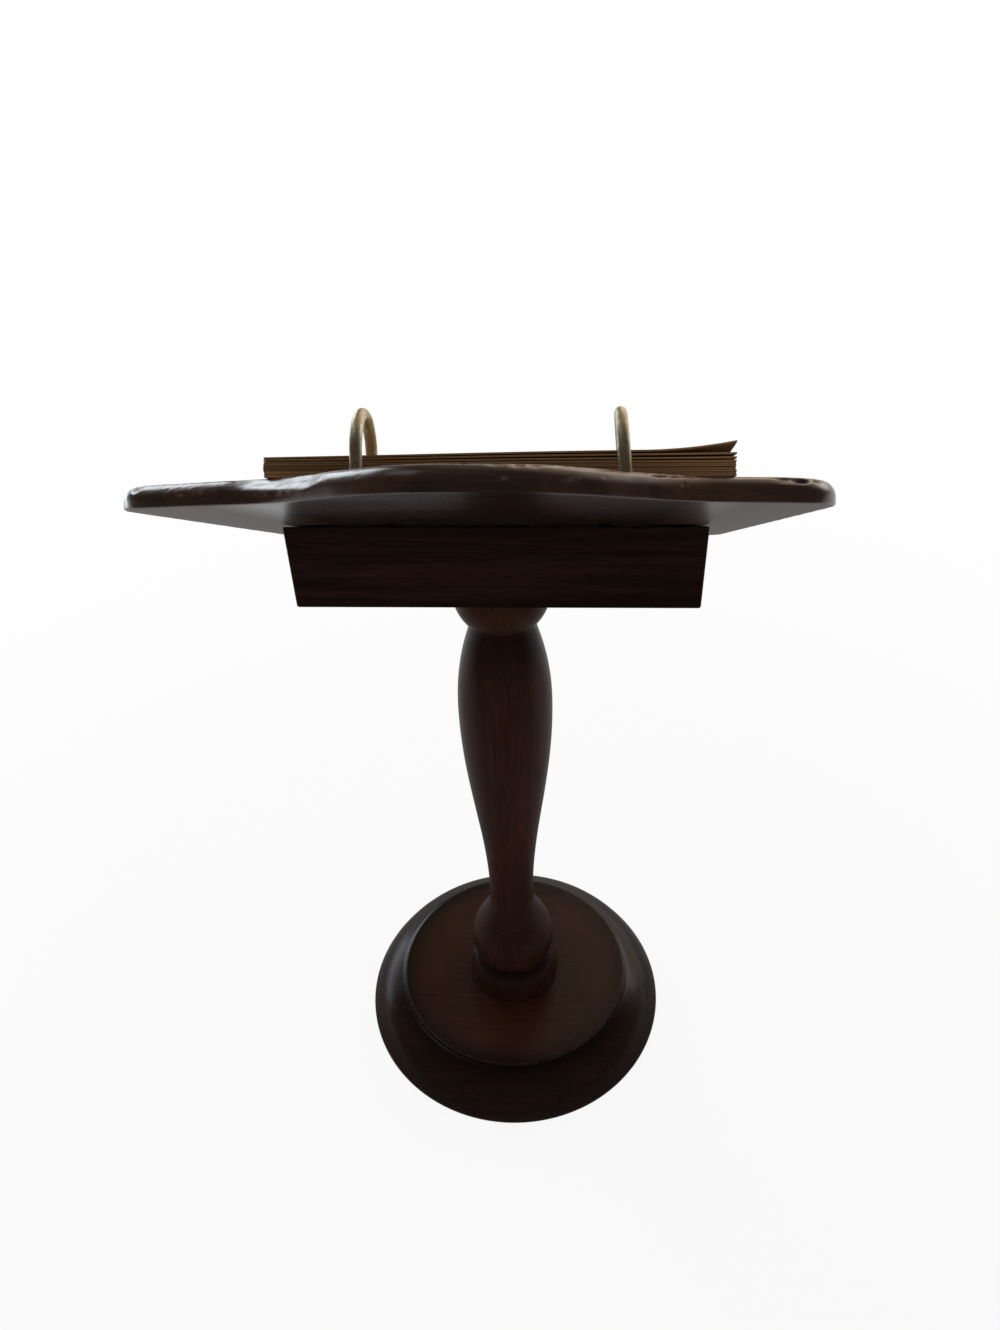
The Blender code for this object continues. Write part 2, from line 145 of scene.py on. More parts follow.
# Heights between which the top disc of the base and the ball of the post lose their stain, and bands of
# painted shade on the post, under the ball and darker towards the bottom, by height, half width and amount
BASE_FADE = (24.2 * MM, 25.4 * MM)
POST_FADE = (288 * MM, 296 * MM)
POST_SHADE_BANDS = [(285 * MM, 13 * MM, 0.7), (85 * MM, 40 * MM, 0.42), (38 * MM, 20 * MM, 0.5)]

# Wedge block
BLOCK_EASING = 1.1 * MM
BLOCK_EASING_STEPS = 5

# Board edge, in metres from the outline and from the underside
BOARD_ARRIS = 0.8 * MM
ARRIS_STEPS = 5
BOARD_ROUND = 5.0 * MM
ROUND_STEPS = 17
EDGE_SPACING = 0.8 * MM
EDGE_INSET = 10 * MM
EDGE_UNEVEN = 0.1 * MM
EDGE_NOISE = 130
UNDER_ROWS = (EDGE_INSET, 4 * MM, 1.6 * MM)
TOP_ROWS = (6.2 * MM, EDGE_INSET)
TOP_EDGE_LOW = -22 * MM
OUTLINE_SMOOTHING = 6

# Marks on the board's top edge, placed by X: half length, place round the edge in degrees, half width,
# depth and wear, with lengths in millimetres; a wear below 0 is painted shade that darkens a gouge
GOUGES = [
    (-54.0, 4.6, 68.0, 1.9, 1.5, -0.9), (-58.5, 3.0, 66.0, 1.5, 1.0, -0.9), (-47.0, 4.5, 76.0, 1.3, 0.3, 0.9),
    (-62.5, 2.0, 64.0, 1.2, 0.3, 0.9), (-89.0, 3.4, 62.0, 1.2, 0.8, -0.8), (-94.5, 4.2, 52.0, 1.4, 1.1, -0.9),
    (-99.0, 2.6, 58.0, 1.5, 0.8, 0.8), (-91.0, 5.0, 44.0, 1.0, 0.3, 0.9), (-86.0, 3.0, 74.0, 1.0, 0.3, 0.9),
]
DENTS = [
    (-11.0, 3.2, 72.0, 1.7, 0.45, 1.0), (-16.0, 2.6, 66.0, 1.6, 0.5, 0.9), (-21.0, 2.2, 62.0, 1.4, 0.4, 1.0),
    (-3.0, 2.0, 80.0, 0.9, 0.3, 0.6), (105.0, 3.0, 50.0, 2.2, 0.6, 0.6), (31.0, 2.6, 78.0, 1.2, 0.3, 0.7),
]
# Scuffs are long shallow rubbed streaks; the pale one low on the edge at X 52 is partly a painted highlight
SCUFFS_AND_GLINT = [
    (-29.0, 11.0, 78.0, 1.9, 0.06, 0.9), (-43.0, 10.0, 76.0, 1.8, 0.06, 0.9),
    (-10.0, 14.0, 82.0, 1.6, 0.04, 0.55), (10.0, 13.0, 83.0, 1.5, 0.04, 0.5),
    (26.0, 9.0, 83.0, 1.3, 0.04, 0.45), (-72.0, 9.0, 80.0, 1.4, 0.05, 0.5),
    (88.0, 18.0, 70.0, 2.6, 0.05, 0.3), (52.0, 11.0, 3.0, 0.9, 0.06, 0.55),
    (44.0, 8.0, 38.0, 1.0, 0.1, 0.1), (58.0, 6.0, 42.0, 1.2, 0.12, 0.1),
]
MARK_SEED = 7

# Small marks drawn at random, with the ranges of the same five numbers: chatter over a span in X, and
# nicks all round the board
CHATTER_COUNT = 80
CHATTER_SPAN = (34.0, 106.0)
CHATTER_RANGES = ((0.6, 1.6), (20, 84), (0.4, 1.2), (0.02, 0.08), (0.0, 0.4))
NICK_COUNT = 90
NICK_RANGES = ((0.6, 2.4), (0, 88), (0.3, 0.9), (0.04, 0.16), (0.1, 0.6))

# How steep a mark is, how far its wear spreads and how much painted shade a dark gouge takes
MARK_POWER = 1.3
WEAR_SPREAD = 1.8
GOUGE_SHADE_AMOUNT = 1.3

# A rubbed flat on the edge: its span and fading ends in X, in millimetres, its angle round the edge, its
# twist by millimetre and half its width
RUBBED_SPAN = (32.0, 76.0)
RUBBED_ENDS = 12.0
RUBBED_ANGLE = math.radians(46)
RUBBED_TWIST = math.radians(0.7)
RUBBED_HALF = math.radians(36)
RUBBED_SMOOTHING = 5

# Arches
WIRE_RADIUS = 1.8 * MM
WIRE_SIDES = 20
WIRE_UNEVEN = 0.03 * MM
WIRE_NOISE = 300
WIRE_ENDS = (0.72, 0.95)
ARCH_RADIUS = 12.0 * MM
ARCH_STEPS = 41
ARCH_LEG_DEPTH = 5.0 * MM
ARCH_LEG_STEPS = 8
ARCH_RISE = 5.6 * MM
SOCKET_CLEARANCE = 0.3 * MM

# Screws, and the turn of their slots in radians
SCREW_SIDES = 48
SCREW_SINK = 0.05 * MM
SCREW_EASING = 0.25 * MM
SCREW_RIM = 0.5 * MM
SCREW_HEAD = 2.6 * MM
SCREW_POINT = 3.5 * MM
SCREW_TIP = 0.2 * MM
SCREW_TOP_SHARE = 0.9
SCREW_SLOT = 1.1 * MM
SLOT_TURNS = {"left": 0.6, "right": -0.9}
SCREW_HOLE_RIM = 0.6 * MM
SCREW_HOLE_HEAD = 2.8 * MM

# Cutters: sides of the round ones, how far they stand over the board, and from where to where over the
# turning axis they go through the cards
CUTTER_SIDES = 40
SOCKET_CUT = 3 * MM
SCREW_CUT = 2 * MM
CARD_CUT = (-12 * MM, 16 * MM)

# Cards, from the board up: height over the first card at the reader's right and left edge, in millimetres
CARD_STACK = [("tenth_card", 0.0, 0.0), ("ninth_card", 0.56, 0.6), ("eighth_card", 1.12, 1.2),
              ("seventh_card", 1.68, 1.85), ("sixth_card", 2.24, 2.6), ("fifth_card", 2.8, 3.2),
              ("fourth_card", 3.36, 3.85), ("third_card", 3.95, 4.85), ("second_card", 4.65, 6.0),
              ("front_card", 5.3, 7.1)]
CARD_TONES = (1.5, 1.4, 1.3, 1.0, 0.9, 0.9, 0.95, 1.0, 1.1, 1.15)
LOOSE_CARDS = ("third_card", "second_card", "front_card")
CARD_SEED = 100
CARD_SHIFT_ACROSS = (-0.12 * MM, 0.12 * MM)
CARD_SHIFT_ALONG = (-0.6 * MM, 0.0)
CARD_SKEW = (-0.001, 0.001)
CARD_TONE_RANGE = (0.88, 1.1)
CARD_FACE = (0.46, 0.32, 0.175)
CARD_EDGE = (0.205, 0.105, 0.042)
CARD_THICKNESS = 0.5 * MM
CARD_HOLE_RADIUS = 3.85 * MM
CARD_UNEVEN = 0.12 * MM
CARD_UNEVEN_NOISE = 160
CARD_UNEVEN_STEP = 3.1
CARD_WAVE = 0.16 * MM
CARD_WAVE_ACROSS = 7
CARD_WAVE_ALONG = 4
CARD_WAVE_START = 0.35
CARD_BUCKLE = 0.004 * MM
CARD_BUCKLE_NOISE = 60
CARD_BUCKLE_STEP = 7.7
CARD_RIM = 5 * MM
CURL_LIFTS = {"front_card": 2.2 * MM}
CURL_REACH = 26 * MM

# Shares of a card's width and length where its grid has a line, closer by the curled corner and the top edge
CARD_COLUMNS = np.concatenate([np.linspace(0, 0.22, 12)[:-1], np.linspace(0.22, 0.85, 12)[:-1],
                               np.linspace(0.85, 1, 6)])
CARD_ROWS = np.concatenate([np.linspace(0, 0.06, 4)[:-1], np.linspace(0.06, 0.8, 18)[:-1],
                            np.linspace(0.8, 1, 18)])

# Board coordinates, from the joints of the cards and of the upright arch
AXIS_POINT = Vector((0, *joints["rear_cards_turn"]["pos_m"][1:]))
ACROSS = Vector((1, 0, 0))
NORMAL = Vector(joints["right_arch_pull"]["axis"]).normalized()
UPSLOPE = NORMAL.cross(ACROSS)
BOARD_AXES = np.array([ACROSS, UPSLOPE, NORMAL])


def to_board(points):
    """World points in board coordinates."""
    return (np.asarray(points, float) - np.array(AXIS_POINT)) @ BOARD_AXES.T


def from_board(points):
    """Board coordinates in the world."""
    return np.asarray(points, float) @ BOARD_AXES + np.array(AXIS_POINT)


def node_points(node):
    """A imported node's vertices in the world."""
    return np.array([vertex.co for vertex in frame["nodes"][node].data.vertices], float)


# Meshes


def new_piece(name, points, faces, look, body, node):
    """Makes a smooth mesh piece that rides on a body and stands for a node."""
    mesh = bpy.data.meshes.new(name)
    mesh.from_pydata([tuple(point) for point in points], [], faces)
    fix = bmesh.new()
    fix.from_mesh(mesh)
    bmesh.ops.recalc_face_normals(fix, faces=fix.faces)
    fix.to_mesh(mesh)
    fix.free()
    mesh.shade_smooth()
    mesh.materials.append(look)
    piece = bpy.data.objects.new(name, mesh)
    bpy.context.scene.collection.objects.link(piece)
    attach(piece, body)
    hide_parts(node)
    return piece


def ring_faces(rings, sides, start=0):
    """Quads between closed rings of points that follow each other from a start."""
    faces = []
    for ring in range(rings - 1):
        for k in range(sides):
            a = start + ring * sides + k
            b = start + ring * sides + (k + 1) % sides
            faces.append((a, b, b + sides, a + sides))
    return faces


def paint(piece, name, values):
    """Puts a number on each vertex for the materials to read."""
    layer = piece.data.attributes.new(name, "FLOAT", "POINT")
    layer.data.foreach_set("value", np.asarray(values, np.float32).ravel())


def apply_modifiers(piece):
    """Turns a piece's modifiers into its mesh."""
    bpy.context.view_layer.update()
    evaluated = piece.evaluated_get(bpy.context.evaluated_depsgraph_get())
    mesh = bpy.data.meshes.new_from_object(evaluated)
    old = piece.data
    piece.modifiers.clear()
    piece.data = mesh
    bpy.data.meshes.remove(old)


def weight_normals(piece):
    """Keeps the shading of flat faces flat beside small round ones."""
    piece.modifiers.new("weighted", "WEIGHTED_NORMAL").keep_sharp = True
    apply_modifiers(piece)


def cut_all(piece, cutters):
    """Takes cutters out of a piece and removes them."""
    for cutter in cutters:
        boolean = piece.modifiers.new("cut", "BOOLEAN")
        boolean.operation = "DIFFERENCE"
        boolean.solver = "EXACT"
        boolean.object = cutter
    apply_modifiers(piece)
    for cutter in cutters:
        bpy.data.objects.remove(cutter, do_unlink=True)


def round_cutter(base, axis, radius, low, high, top_radius=None):
    """A round cutter between two heights along an axis through a base point."""
    cutter_mesh = bpy.data.meshes.new("cutter")
    shape = bmesh.new()
    bmesh.ops.create_cone(shape, cap_ends=True, segments=CUTTER_SIDES, radius1=radius,
                          radius2=radius if top_radius is None else top_radius, depth=high - low)
    shape.to_mesh(cutter_mesh)
    shape.free()
    cutter = bpy.data.objects.new("cutter", cutter_mesh)
    turn = Vector((0, 0, 1)).rotation_difference(axis).to_matrix().to_4x4()
    middle = Vector(base) + Vector(axis) * (low + high) / 2
    cutter.matrix_world = Matrix.Translation(middle) @ turn
    bpy.context.scene.collection.objects.link(cutter)
    return cutter


def resample(points, spacing):
    """Points at an even spacing along a closed polyline."""
    points = np.vstack([points, points[:1]])
    steps = np.linalg.norm(np.diff(points, axis=0), axis=1)
    along = np.concatenate([[0], np.cumsum(steps)])
    count = max(int(round(along[-1] / spacing)), 2)
    places = np.linspace(0, along[-1], count + 1)[:-1]
    return np.stack([np.interp(places, along, points[:, k]) for k in range(points.shape[1])], axis=1)


def soften(points, passes, closed=False):
    """Rounds a polyline's corners by averaging neighbours."""
    points = points.copy()
    for _ in range(passes):
        if closed:
            points = (np.roll(points, 1, 0) + 2 * points + np.roll(points, -1, 0)) / 4
        else:
            points[1:-1] = (points[:-2] + 2 * points[1:-1] + points[2:]) / 4
    return points


# Nodes of the materials


def new_material(name):
    """A material with its node tree and its shader."""
    look = bpy.data.materials.new(name)
    look.use_nodes = True
    return look, look.node_tree, look.node_tree.nodes["Principled BSDF"]


def add_node(tree, kind, inputs=None, **settings):
    """Adds a node; an input is a value or another node's socket."""
    made = tree.nodes.new(kind)
    for key, value in settings.items():
        setattr(made, key, value)
    for key, value in (inputs or {}).items():
        if isinstance(value, bpy.types.NodeSocket):
            tree.links.new(value, made.inputs[key])
        else:
            made.inputs[key].default_value = value
    return made


def split_place(tree, kind):
    """X, Y and Z of a texture coordinate, and the coordinate itself."""
    place = add_node(tree, "ShaderNodeTexCoord").outputs[kind]
    return add_node(tree, "ShaderNodeSeparateXYZ", {"Vector": place}).outputs, place


def noise_value(tree, scale, detail=3.0, roughness=0.55, distortion=0.0):
    """Noise over object coordinates, with one scale or a scale for each axis."""
    scales = scale if isinstance(scale, tuple) else (scale, scale, scale)
    place = add_node(tree, "ShaderNodeTexCoord").outputs["Object"]
    where = add_node(tree, "ShaderNodeMapping", {"Vector": place, "Scale": scales})
    made = add_node(tree, "ShaderNodeTexNoise", {"Vector": where.outputs["Vector"], "Scale": 1.0,
                                                 "Detail": detail, "Roughness": roughness,
                                                 "Distortion": distortion})
    return made.outputs["Fac"]


def ramp(tree, value, low, high, start=0.0, end=1.0):
    """Maps a value's low to high range onto start to end, clamped."""
    made = add_node(tree, "ShaderNodeMapRange", {"Value": value, "From Min": low, "From Max": high,
                                                 "To Min": start, "To Max": end})
    return made.outputs["Result"]


def mix_colour(tree, share, first, second, blend="MIX"):
    """Mixes two colours; each is a colour or a socket."""
    made = tree.nodes.new("ShaderNodeMix")
    made.data_type = "RGBA"
    made.blend_type = blend
    for socket, value in ((made.inputs[0], share), (made.inputs[6], first), (made.inputs[7], second)):
        if isinstance(value, bpy.types.NodeSocket):
            tree.links.new(value, socket)
        else:
            socket.default_value = value if isinstance(value, float) else (*value, 1.0)
    return made.outputs[2]


def shaded(tree, colour, shade):
    """A colour multiplied by a shade."""
    grey = add_node(tree, "ShaderNodeCombineColor", {"Red": shade, "Green": shade, "Blue": shade})
    return mix_colour(tree, 1.0, colour, grey.outputs["Color"], "MULTIPLY")


def arithmetic(tree, operation, first, second):
    """A maths node's result, kept between 0 and 1."""
    made = add_node(tree, "ShaderNodeMath", {0: first, 1: second}, operation=operation, use_clamp=True)
    return made.outputs["Value"]


def multiply(tree, first, second):
    """A product, kept between 0 and 1."""
    return arithmetic(tree, "MULTIPLY", first, second)


def attribute(tree, name):
    """A number painted on the mesh by this script."""
    return add_node(tree, "ShaderNodeAttribute", attribute_name=name).outputs["Fac"]


def bump(tree, height, distance, strength=1.0, below=None):
    """A bump of a real height in metres, over another bump if given."""
    inputs = {"Height": height, "Distance": distance, "Strength": strength}
    if below is not None:
        inputs["Normal"] = below
    return add_node(tree, "ShaderNodeBump", inputs).outputs["Normal"]


def along_axis(axis, along, across):
    """A scale vector with one value along the grain axis and another across it."""
    return tuple(along if index == axis else across for index in range(3))


# Materials


def wood(name, grain_axis, dark, middle, faded, worn, gloss, specular, relief, bare_specular=None):
    """Stained wood under lacquer: streaks, fine fibres and open pores along the grain.

    The painted numbers fade the stain, darken hollows, bands and gouges with dirt and painted shade, rub the
    edges and leave a face bare of lacquer, with a partly painted warm sheen and a strip of painted shade
    before the block.
    """
    look, tree, shader = new_material(name)
    streaks = noise_value(tree, along_axis(grain_axis, 5, 110), detail=4.0, roughness=0.6, distortion=0.6)
    fibres = noise_value(tree, along_axis(grain_axis, 24, 1000), roughness=0.6)
    pores = ramp(tree, noise_value(tree, along_axis(grain_axis, 90, 1500), detail=1.0), 0.62, 0.74)
    clouds = noise_value(tree, 22)
    colour = mix_colour(tree, ramp(tree, streaks, 0.35, 0.68), dark, middle)
    patchy = ramp(tree, clouds, 0.2, 0.7, 0.45, 1.0)
    colour = mix_colour(tree, multiply(tree, attribute(tree, "faded"), patchy), colour, faded)
    has_bare_face = bare_specular is not None
    if has_bare_face:
        bare = attribute(tree, "bare")
        parts, _ = split_place(tree, "Object")
        off_middle = arithmetic(tree, "ABSOLUTE", parts["X"], 0.0)
        # painted shade and a painted reflection of the block: the strip in front of it keeps little of the
        # bare tint
        bare_tint_and_strip_shade = multiply(tree, bare, ramp(tree, off_middle, *BLOCK_STRIP_END, STRIP_SHADE_STAIN, 1.0))
        colour = mix_colour(tree, bare_tint_and_strip_shade, colour, BARE_TINT_AND_SHEEN)
    colour = shaded(tree, colour, ramp(tree, fibres, 0.3, 0.75, 0.7, 1.25))
    deep = tuple(channel * HOLLOW_SHADE for channel in dark)
    colour = mix_colour(tree, multiply(tree, pores, PORE_SHARE * relief), colour, deep)
    # dirt and painted shade: hollows, bands and gouges mixed towards the deep colour
    dirt_and_shade_share = multiply(tree, attribute(tree, "dirt_and_shade"), ramp(tree, clouds, 0.2, 0.6, 0.6, 1.0))
    colour = mix_colour(tree, dirt_and_shade_share, colour, deep)
    scuffs = ramp(tree, noise_value(tree, 420, detail=4.0, roughness=0.65), 0.4, 0.58)
    rubbed = multiply(tree, attribute(tree, "wear"), scuffs)
    tree.links.new(mix_colour(tree, rubbed, colour, worn), shader.inputs["Base Color"])
    dull = arithmetic(tree, "ADD", ramp(tree, clouds, 0.3, 0.7, gloss, gloss + 0.1),
                      multiply(tree, rubbed, RUBBED_ROUGHNESS))
    shader.inputs["Specular IOR Level"].default_value = specular
    ripple = 1.0
    if has_bare_face:
        handled = ramp(tree, off_middle, *BLOCK_STRIP_END, KEPT_ROUGHNESS, BARE_ROUGHNESS)
        dull = arithmetic(tree, "MAXIMUM", dull, multiply(tree, bare, handled))
        shine = ramp(tree, off_middle, *BLOCK_STRIP_END, KEPT_SHINE * bare_specular, bare_specular)
        tree.links.new(ramp(tree, bare, 0.0, 1.0, specular, shine), shader.inputs["Specular IOR Level"])
        ripple = ramp(tree, bare, 0.0, 1.0, 1.0, BARE_RIPPLE)
        relief = ramp(tree, bare, 0.0, 1.0, relief, BARE_RIPPLE * relief)
    tree.links.new(dull, shader.inputs["Roughness"])
    waves = bump(tree, noise_value(tree, 60, detail=2.0), RIPPLE_HEIGHT, ripple)
    grain = bump(tree, fibres, FIBRE_HEIGHT, relief, waves)
    tree.links.new(bump(tree, pores, -FIBRE_HEIGHT, relief, grain), shader.inputs["Normal"])
    return look


def brass():
    """Old brass wire, rubbed silvery, with golden patches and small dark pits."""
    look, tree, shader = new_material("aged_brass")
    patches = ramp(tree, noise_value(tree, 160, detail=4.0, roughness=0.6), 0.38, 0.62)
    pits = ramp(tree, noise_value(tree, 1500, detail=2.0), 0.6, 0.72)
    colour = mix_colour(tree, patches, (0.45, 0.43, 0.345), (0.37, 0.32, 0.2))
    colour = mix_colour(tree, multiply(tree, pits, 0.75), colour, (0.12, 0.085, 0.045))
    tree.links.new(colour, shader.inputs["Base Color"])
    dull = arithmetic(tree, "ADD", ramp(tree, patches, 0.0, 1.0, 0.4, 0.52), multiply(tree, pits, 0.3))
    tree.links.new(dull, shader.inputs["Roughness"])
    tree.links.new(bump(tree, pits, -0.06 * MM), shader.inputs["Normal"])
    shader.inputs["Metallic"].default_value = 1.0
    return look


def steel():
    """Dull screw steel with patches of rust."""
    look, tree, shader = new_material("screw_steel")
    rust = ramp(tree, noise_value(tree, 700, detail=4.0, roughness=0.65), 0.48, 0.62)
    colour = mix_colour(tree, rust, (0.38, 0.37, 0.35), (0.16, 0.075, 0.035))
    tree.links.new(colour, shader.inputs["Base Color"])
    tree.links.new(ramp(tree, rust, 0.0, 1.0, 0.32, 0.75), shader.inputs["Roughness"])
    tree.links.new(bump(tree, rust, 0.05 * MM), shader.inputs["Normal"])
    shader.inputs["Metallic"].default_value = 0.9
    return look


def card_paper(name, tone):
    """Old card: browned rim and cut edge, mottled face, brown spots, fine fibres and painted shade on the rim
    at +X.
    """
    look, tree, shader = new_material(name)
    mottle = ramp(tree, noise_value(tree, 28, detail=5.0, roughness=0.62), 0.32, 0.7)
    spots = ramp(tree, noise_value(tree, 240, detail=2.0, roughness=0.5, distortion=0.4), 0.66, 0.74)
    fibres = noise_value(tree, 900, roughness=0.7)
    stain = tuple(channel * 0.72 for channel in CARD_FACE)
    colour = mix_colour(tree, multiply(tree, mottle, 0.55), CARD_FACE, stain)
    colour = mix_colour(tree, multiply(tree, spots, 0.45), colour, CARD_EDGE)
    uneven_rim = arithmetic(tree, "ADD", attribute(tree, "rim"), multiply(tree, mottle, 0.22))
    rim = ramp(tree, uneven_rim, 0.25, 1.0)
    colour = mix_colour(tree, rim, colour, CARD_EDGE)
    parts, _ = split_place(tree, "Object")
    # painted shade: the rim darkens towards +X, as light falling from the other side would make it
    side_shade = multiply(tree, ramp(tree, parts["X"], -50 * MM, 50 * MM, 0.0, 0.4), rim)
    shade = arithmetic(tree, "SUBTRACT", ramp(tree, fibres, 0.3, 0.7, 0.9 * tone, 1.08 * tone), side_shade)
    tree.links.new(shaded(tree, colour, shade), shader.inputs["Base Color"])
    tree.links.new(ramp(tree, mottle, 0.0, 1.0, 0.72, 0.88), shader.inputs["Roughness"])
    creases = bump(tree, noise_value(tree, 70, detail=4.0), 0.2 * MM)
    tree.links.new(bump(tree, fibres, FIBRE_HEIGHT, 1.0, creases), shader.inputs["Normal"])
    shader.inputs["Specular IOR Level"].default_value = 0.25
    return look


base_wood = wood("base_wood", ACROSS_GRAIN, dark=(0.0105, 0.0042, 0.003), middle=(0.018, 0.0064, 0.004),
                 faded=(0.027, 0.0075, 0.0032), worn=(0.05, 0.022, 0.013),
                 gloss=0.2, specular=0.2, relief=0.1)
post_wood = wood("post_wood", UPRIGHT_GRAIN, dark=(0.026, 0.0098, 0.0066), middle=(0.042, 0.0148, 0.009),
                 faded=(0.042, 0.016, 0.0085), worn=(0.08, 0.035, 0.02),
                 gloss=0.26, specular=0.07, relief=0.1)
block_wood = wood("block_wood", ACROSS_GRAIN, dark=(0.012, 0.0042, 0.0026), middle=(0.029, 0.0105, 0.0063),
                  faded=(0.03, 0.013, 0.008), worn=(0.05, 0.022, 0.013),
                  gloss=0.42, specular=0.06, relief=1.0)
board_wood = wood("board_wood", ACROSS_GRAIN, dark=(0.015, 0.0062, 0.0035), middle=(0.038, 0.0145, 0.0076),
                  faded=(0.06, 0.03, 0.017), worn=(0.145, 0.08, 0.045),
                  gloss=0.2, specular=0.5, relief=0.12, bare_specular=0.11)
dowel_wood = wood("dowel_wood", UPRIGHT_GRAIN, dark=(0.30, 0.18, 0.09), middle=(0.46, 0.30, 0.16),
                  faded=(0.5, 0.34, 0.2), worn=(0.5, 0.35, 0.2),
                  gloss=0.6, specular=0.3, relief=1.0)
wire_brass = brass()
screw_metal = steel()


# Turned base and post


def turned_profile(node):
    """A turned node's outer (radius, height) points, from its top to its bottom."""
    points = node_points(node)
    rings = {(round(math.hypot(x, y), 6), round(z, 6)) for x, y, z in points}
    outer = sorted((ring for ring in rings if ring[0] > BORE_LIMIT), key=lambda ring: (-ring[1], ring[0]))
    return [(0.0, outer[0][1])] + outer + [(0.0, outer[-1][1])]


def smooth_runs(profile, corner=math.radians(32)):
    """Curves through a profile's points, kept sharp where it turns more than a corner angle."""
    points = np.array(profile)
    steps = np.diff(points, axis=0)
    heading = steps / np.linalg.norm(steps, axis=1)[:, None]
    dense = []
    for i in range(len(steps)):
        length = np.linalg.norm(steps[i])
        tangents = []
        for k, other in ((i, i - 1), (i + 1, i + 1)):
            tangent = heading[i]
            if 0 <= other < len(steps) and 0 < k < len(points) - 1:
                if math.acos(np.clip(heading[i] @ heading[other], -1, 1)) < corner:
                    tangent = heading[i] + heading[other]
                    tangent = tangent / np.linalg.norm(tangent)
            tangents.append(tangent * length)
        count = max(int(length / PROFILE_SPACING), 1)
        for share in np.arange(count) / count:
            square = share * share
            cube = square * share
            dense.append(points[i] * (2 * cube - 3 * square + 1) + points[i + 1] * (3 * square - 2 * cube)
                         + tangents[0] * (cube - 2 * square + share) + tangents[1] * (cube - square))
    dense.append(points[-1])
    return np.array(dense)


def thin_out(points, turn=math.radians(4), reach=3.2 * MM):
    """Drops points of a dense polyline where it runs nearly straight."""
    kept = [points[0]]
    turned = 0.0
    for before, here, after in zip(points, points[1:], points[2:]):
        first = here - before
        second = after - here
        turned += abs(math.atan2(first[0] * second[1] - first[1] * second[0], first @ second))
        if turned > turn or np.linalg.norm(here - kept[-1]) > reach:
            kept.append(here)
            turned = 0.0
    kept.append(points[-1])
    return np.array(kept)


def turned_mesh(profile):
    """Points and faces of a profile turned round the upright axis, a hair out of true."""
    points = [(0, 0, profile[0][1])]
    for radius, height in profile[1:-1]:
        for k in range(TURNED_STEPS):
            angle = 2 * math.pi * k / TURNED_STEPS
            place = Vector((math.cos(angle), math.sin(angle), height * OUT_OF_TRUE_RISE))
            true = radius - OUT_OF_TRUE * (1 + noise.noise(place * OUT_OF_TRUE_NOISE))
            points.append((true * math.cos(angle), true * math.sin(angle), height))
    points.append((0, 0, profile[-1][1]))
    last = len(points) - 1
    rings = len(profile) - 2
    low = 1 + (rings - 1) * TURNED_STEPS
    faces = [(0, 1 + k, 1 + (k + 1) % TURNED_STEPS) for k in range(TURNED_STEPS)]
    faces += ring_faces(rings, TURNED_STEPS, start=1)
    faces += [(low + (k + 1) % TURNED_STEPS, low + k, last) for k in range(TURNED_STEPS)]
    return points, faces


def turned_piece(node, slot, look, fade_low, fade_high, shade_bands=()):
    """A finely turned copy of a node, worn on its edges, faded above a height, with dirt and painted shade in
    hollows and painted shade in bands.
    """
    profile = thin_out(soften(smooth_runs(turned_profile(node)), PROFILE_SMOOTHING))
    points, faces = turned_mesh(profile)
    piece = new_piece(node + "_turned", points, faces, look, "stand", node)
    slopes = np.diff(profile, axis=0)
    headings = np.unwrap(np.arctan2(slopes[:, 1], slopes[:, 0]))
    edge = np.clip(-np.diff(headings) / WORN_TURN - WORN_START, 0, WORN_LIMIT)
    paint(piece, "wear", np.concatenate([[0], np.repeat(edge, TURNED_STEPS), [0]]))
    heights = np.array([point[2] for point in points])
    paint(piece, "faded", np.clip((heights - fade_low) / (fade_high - fade_low), 0, 1))
    # dirt and painted shade in the hollows of the profile
    hollow = np.clip(np.diff(headings) / HOLLOW_TURN, 0, 1)
    reach = np.linalg.norm(profile[:, None] - profile[None, 1:-1], axis=2) / DIRT_AND_SHADE_REACH
    dirt_and_shade = (hollow * np.exp(-reach ** 2)).max(1)
    # painted shade in bands: under the ball, and darker towards the bottom of the post
    for height, half, amount in shade_bands:
        dirt_and_shade = np.maximum(dirt_and_shade, amount * np.exp(-((profile[:, 1] - height) / half) ** 2))
    paint(piece, "dirt_and_shade", np.concatenate([[0], np.repeat(dirt_and_shade[1:-1], TURNED_STEPS), [0]]))


turned_piece("base_disc", "base_wood", base_wood, *BASE_FADE)
turned_piece("post", "post_wood", post_wood, *POST_FADE, POST_SHADE_BANDS)


# Wedge block


def wedge_block():
    """The block: an extruded wedge with eased edges."""
    low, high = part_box("wedge_block")
    slope = UPSLOPE.z / UPSLOPE.y
    lip = high.z - (high.y - low.y) * slope
    outline = [(high.y, low.z), (high.y, high.z), (low.y, lip), (low.y, low.z)]
    shape = bmesh.new()
    ring = [shape.verts.new((low.x, y, z)) for y, z in outline]
    end = shape.faces.new(ring)
    pushed = bmesh.ops.extrude_face_region(shape, geom=[end])
    moved = [item for item in pushed["geom"] if isinstance(item, bmesh.types.BMVert)]
    bmesh.ops.translate(shape, verts=moved, vec=(high.x - low.x, 0, 0))
    bmesh.ops.bevel(shape, geom=shape.edges[:], offset=BLOCK_EASING, segments=BLOCK_EASING_STEPS,
                    profile=0.5, affect="EDGES")
    points = [vertex.co.copy() for vertex in shape.verts]
    shape.verts.index_update()
    faces = [[vertex.index for vertex in face.verts] for face in shape.faces]
    shape.free()
    piece = new_piece("wedge_block_eased", points, faces, block_wood, "stand", "wedge_block")
    weight_normals(piece)


wedge_block()


# Board


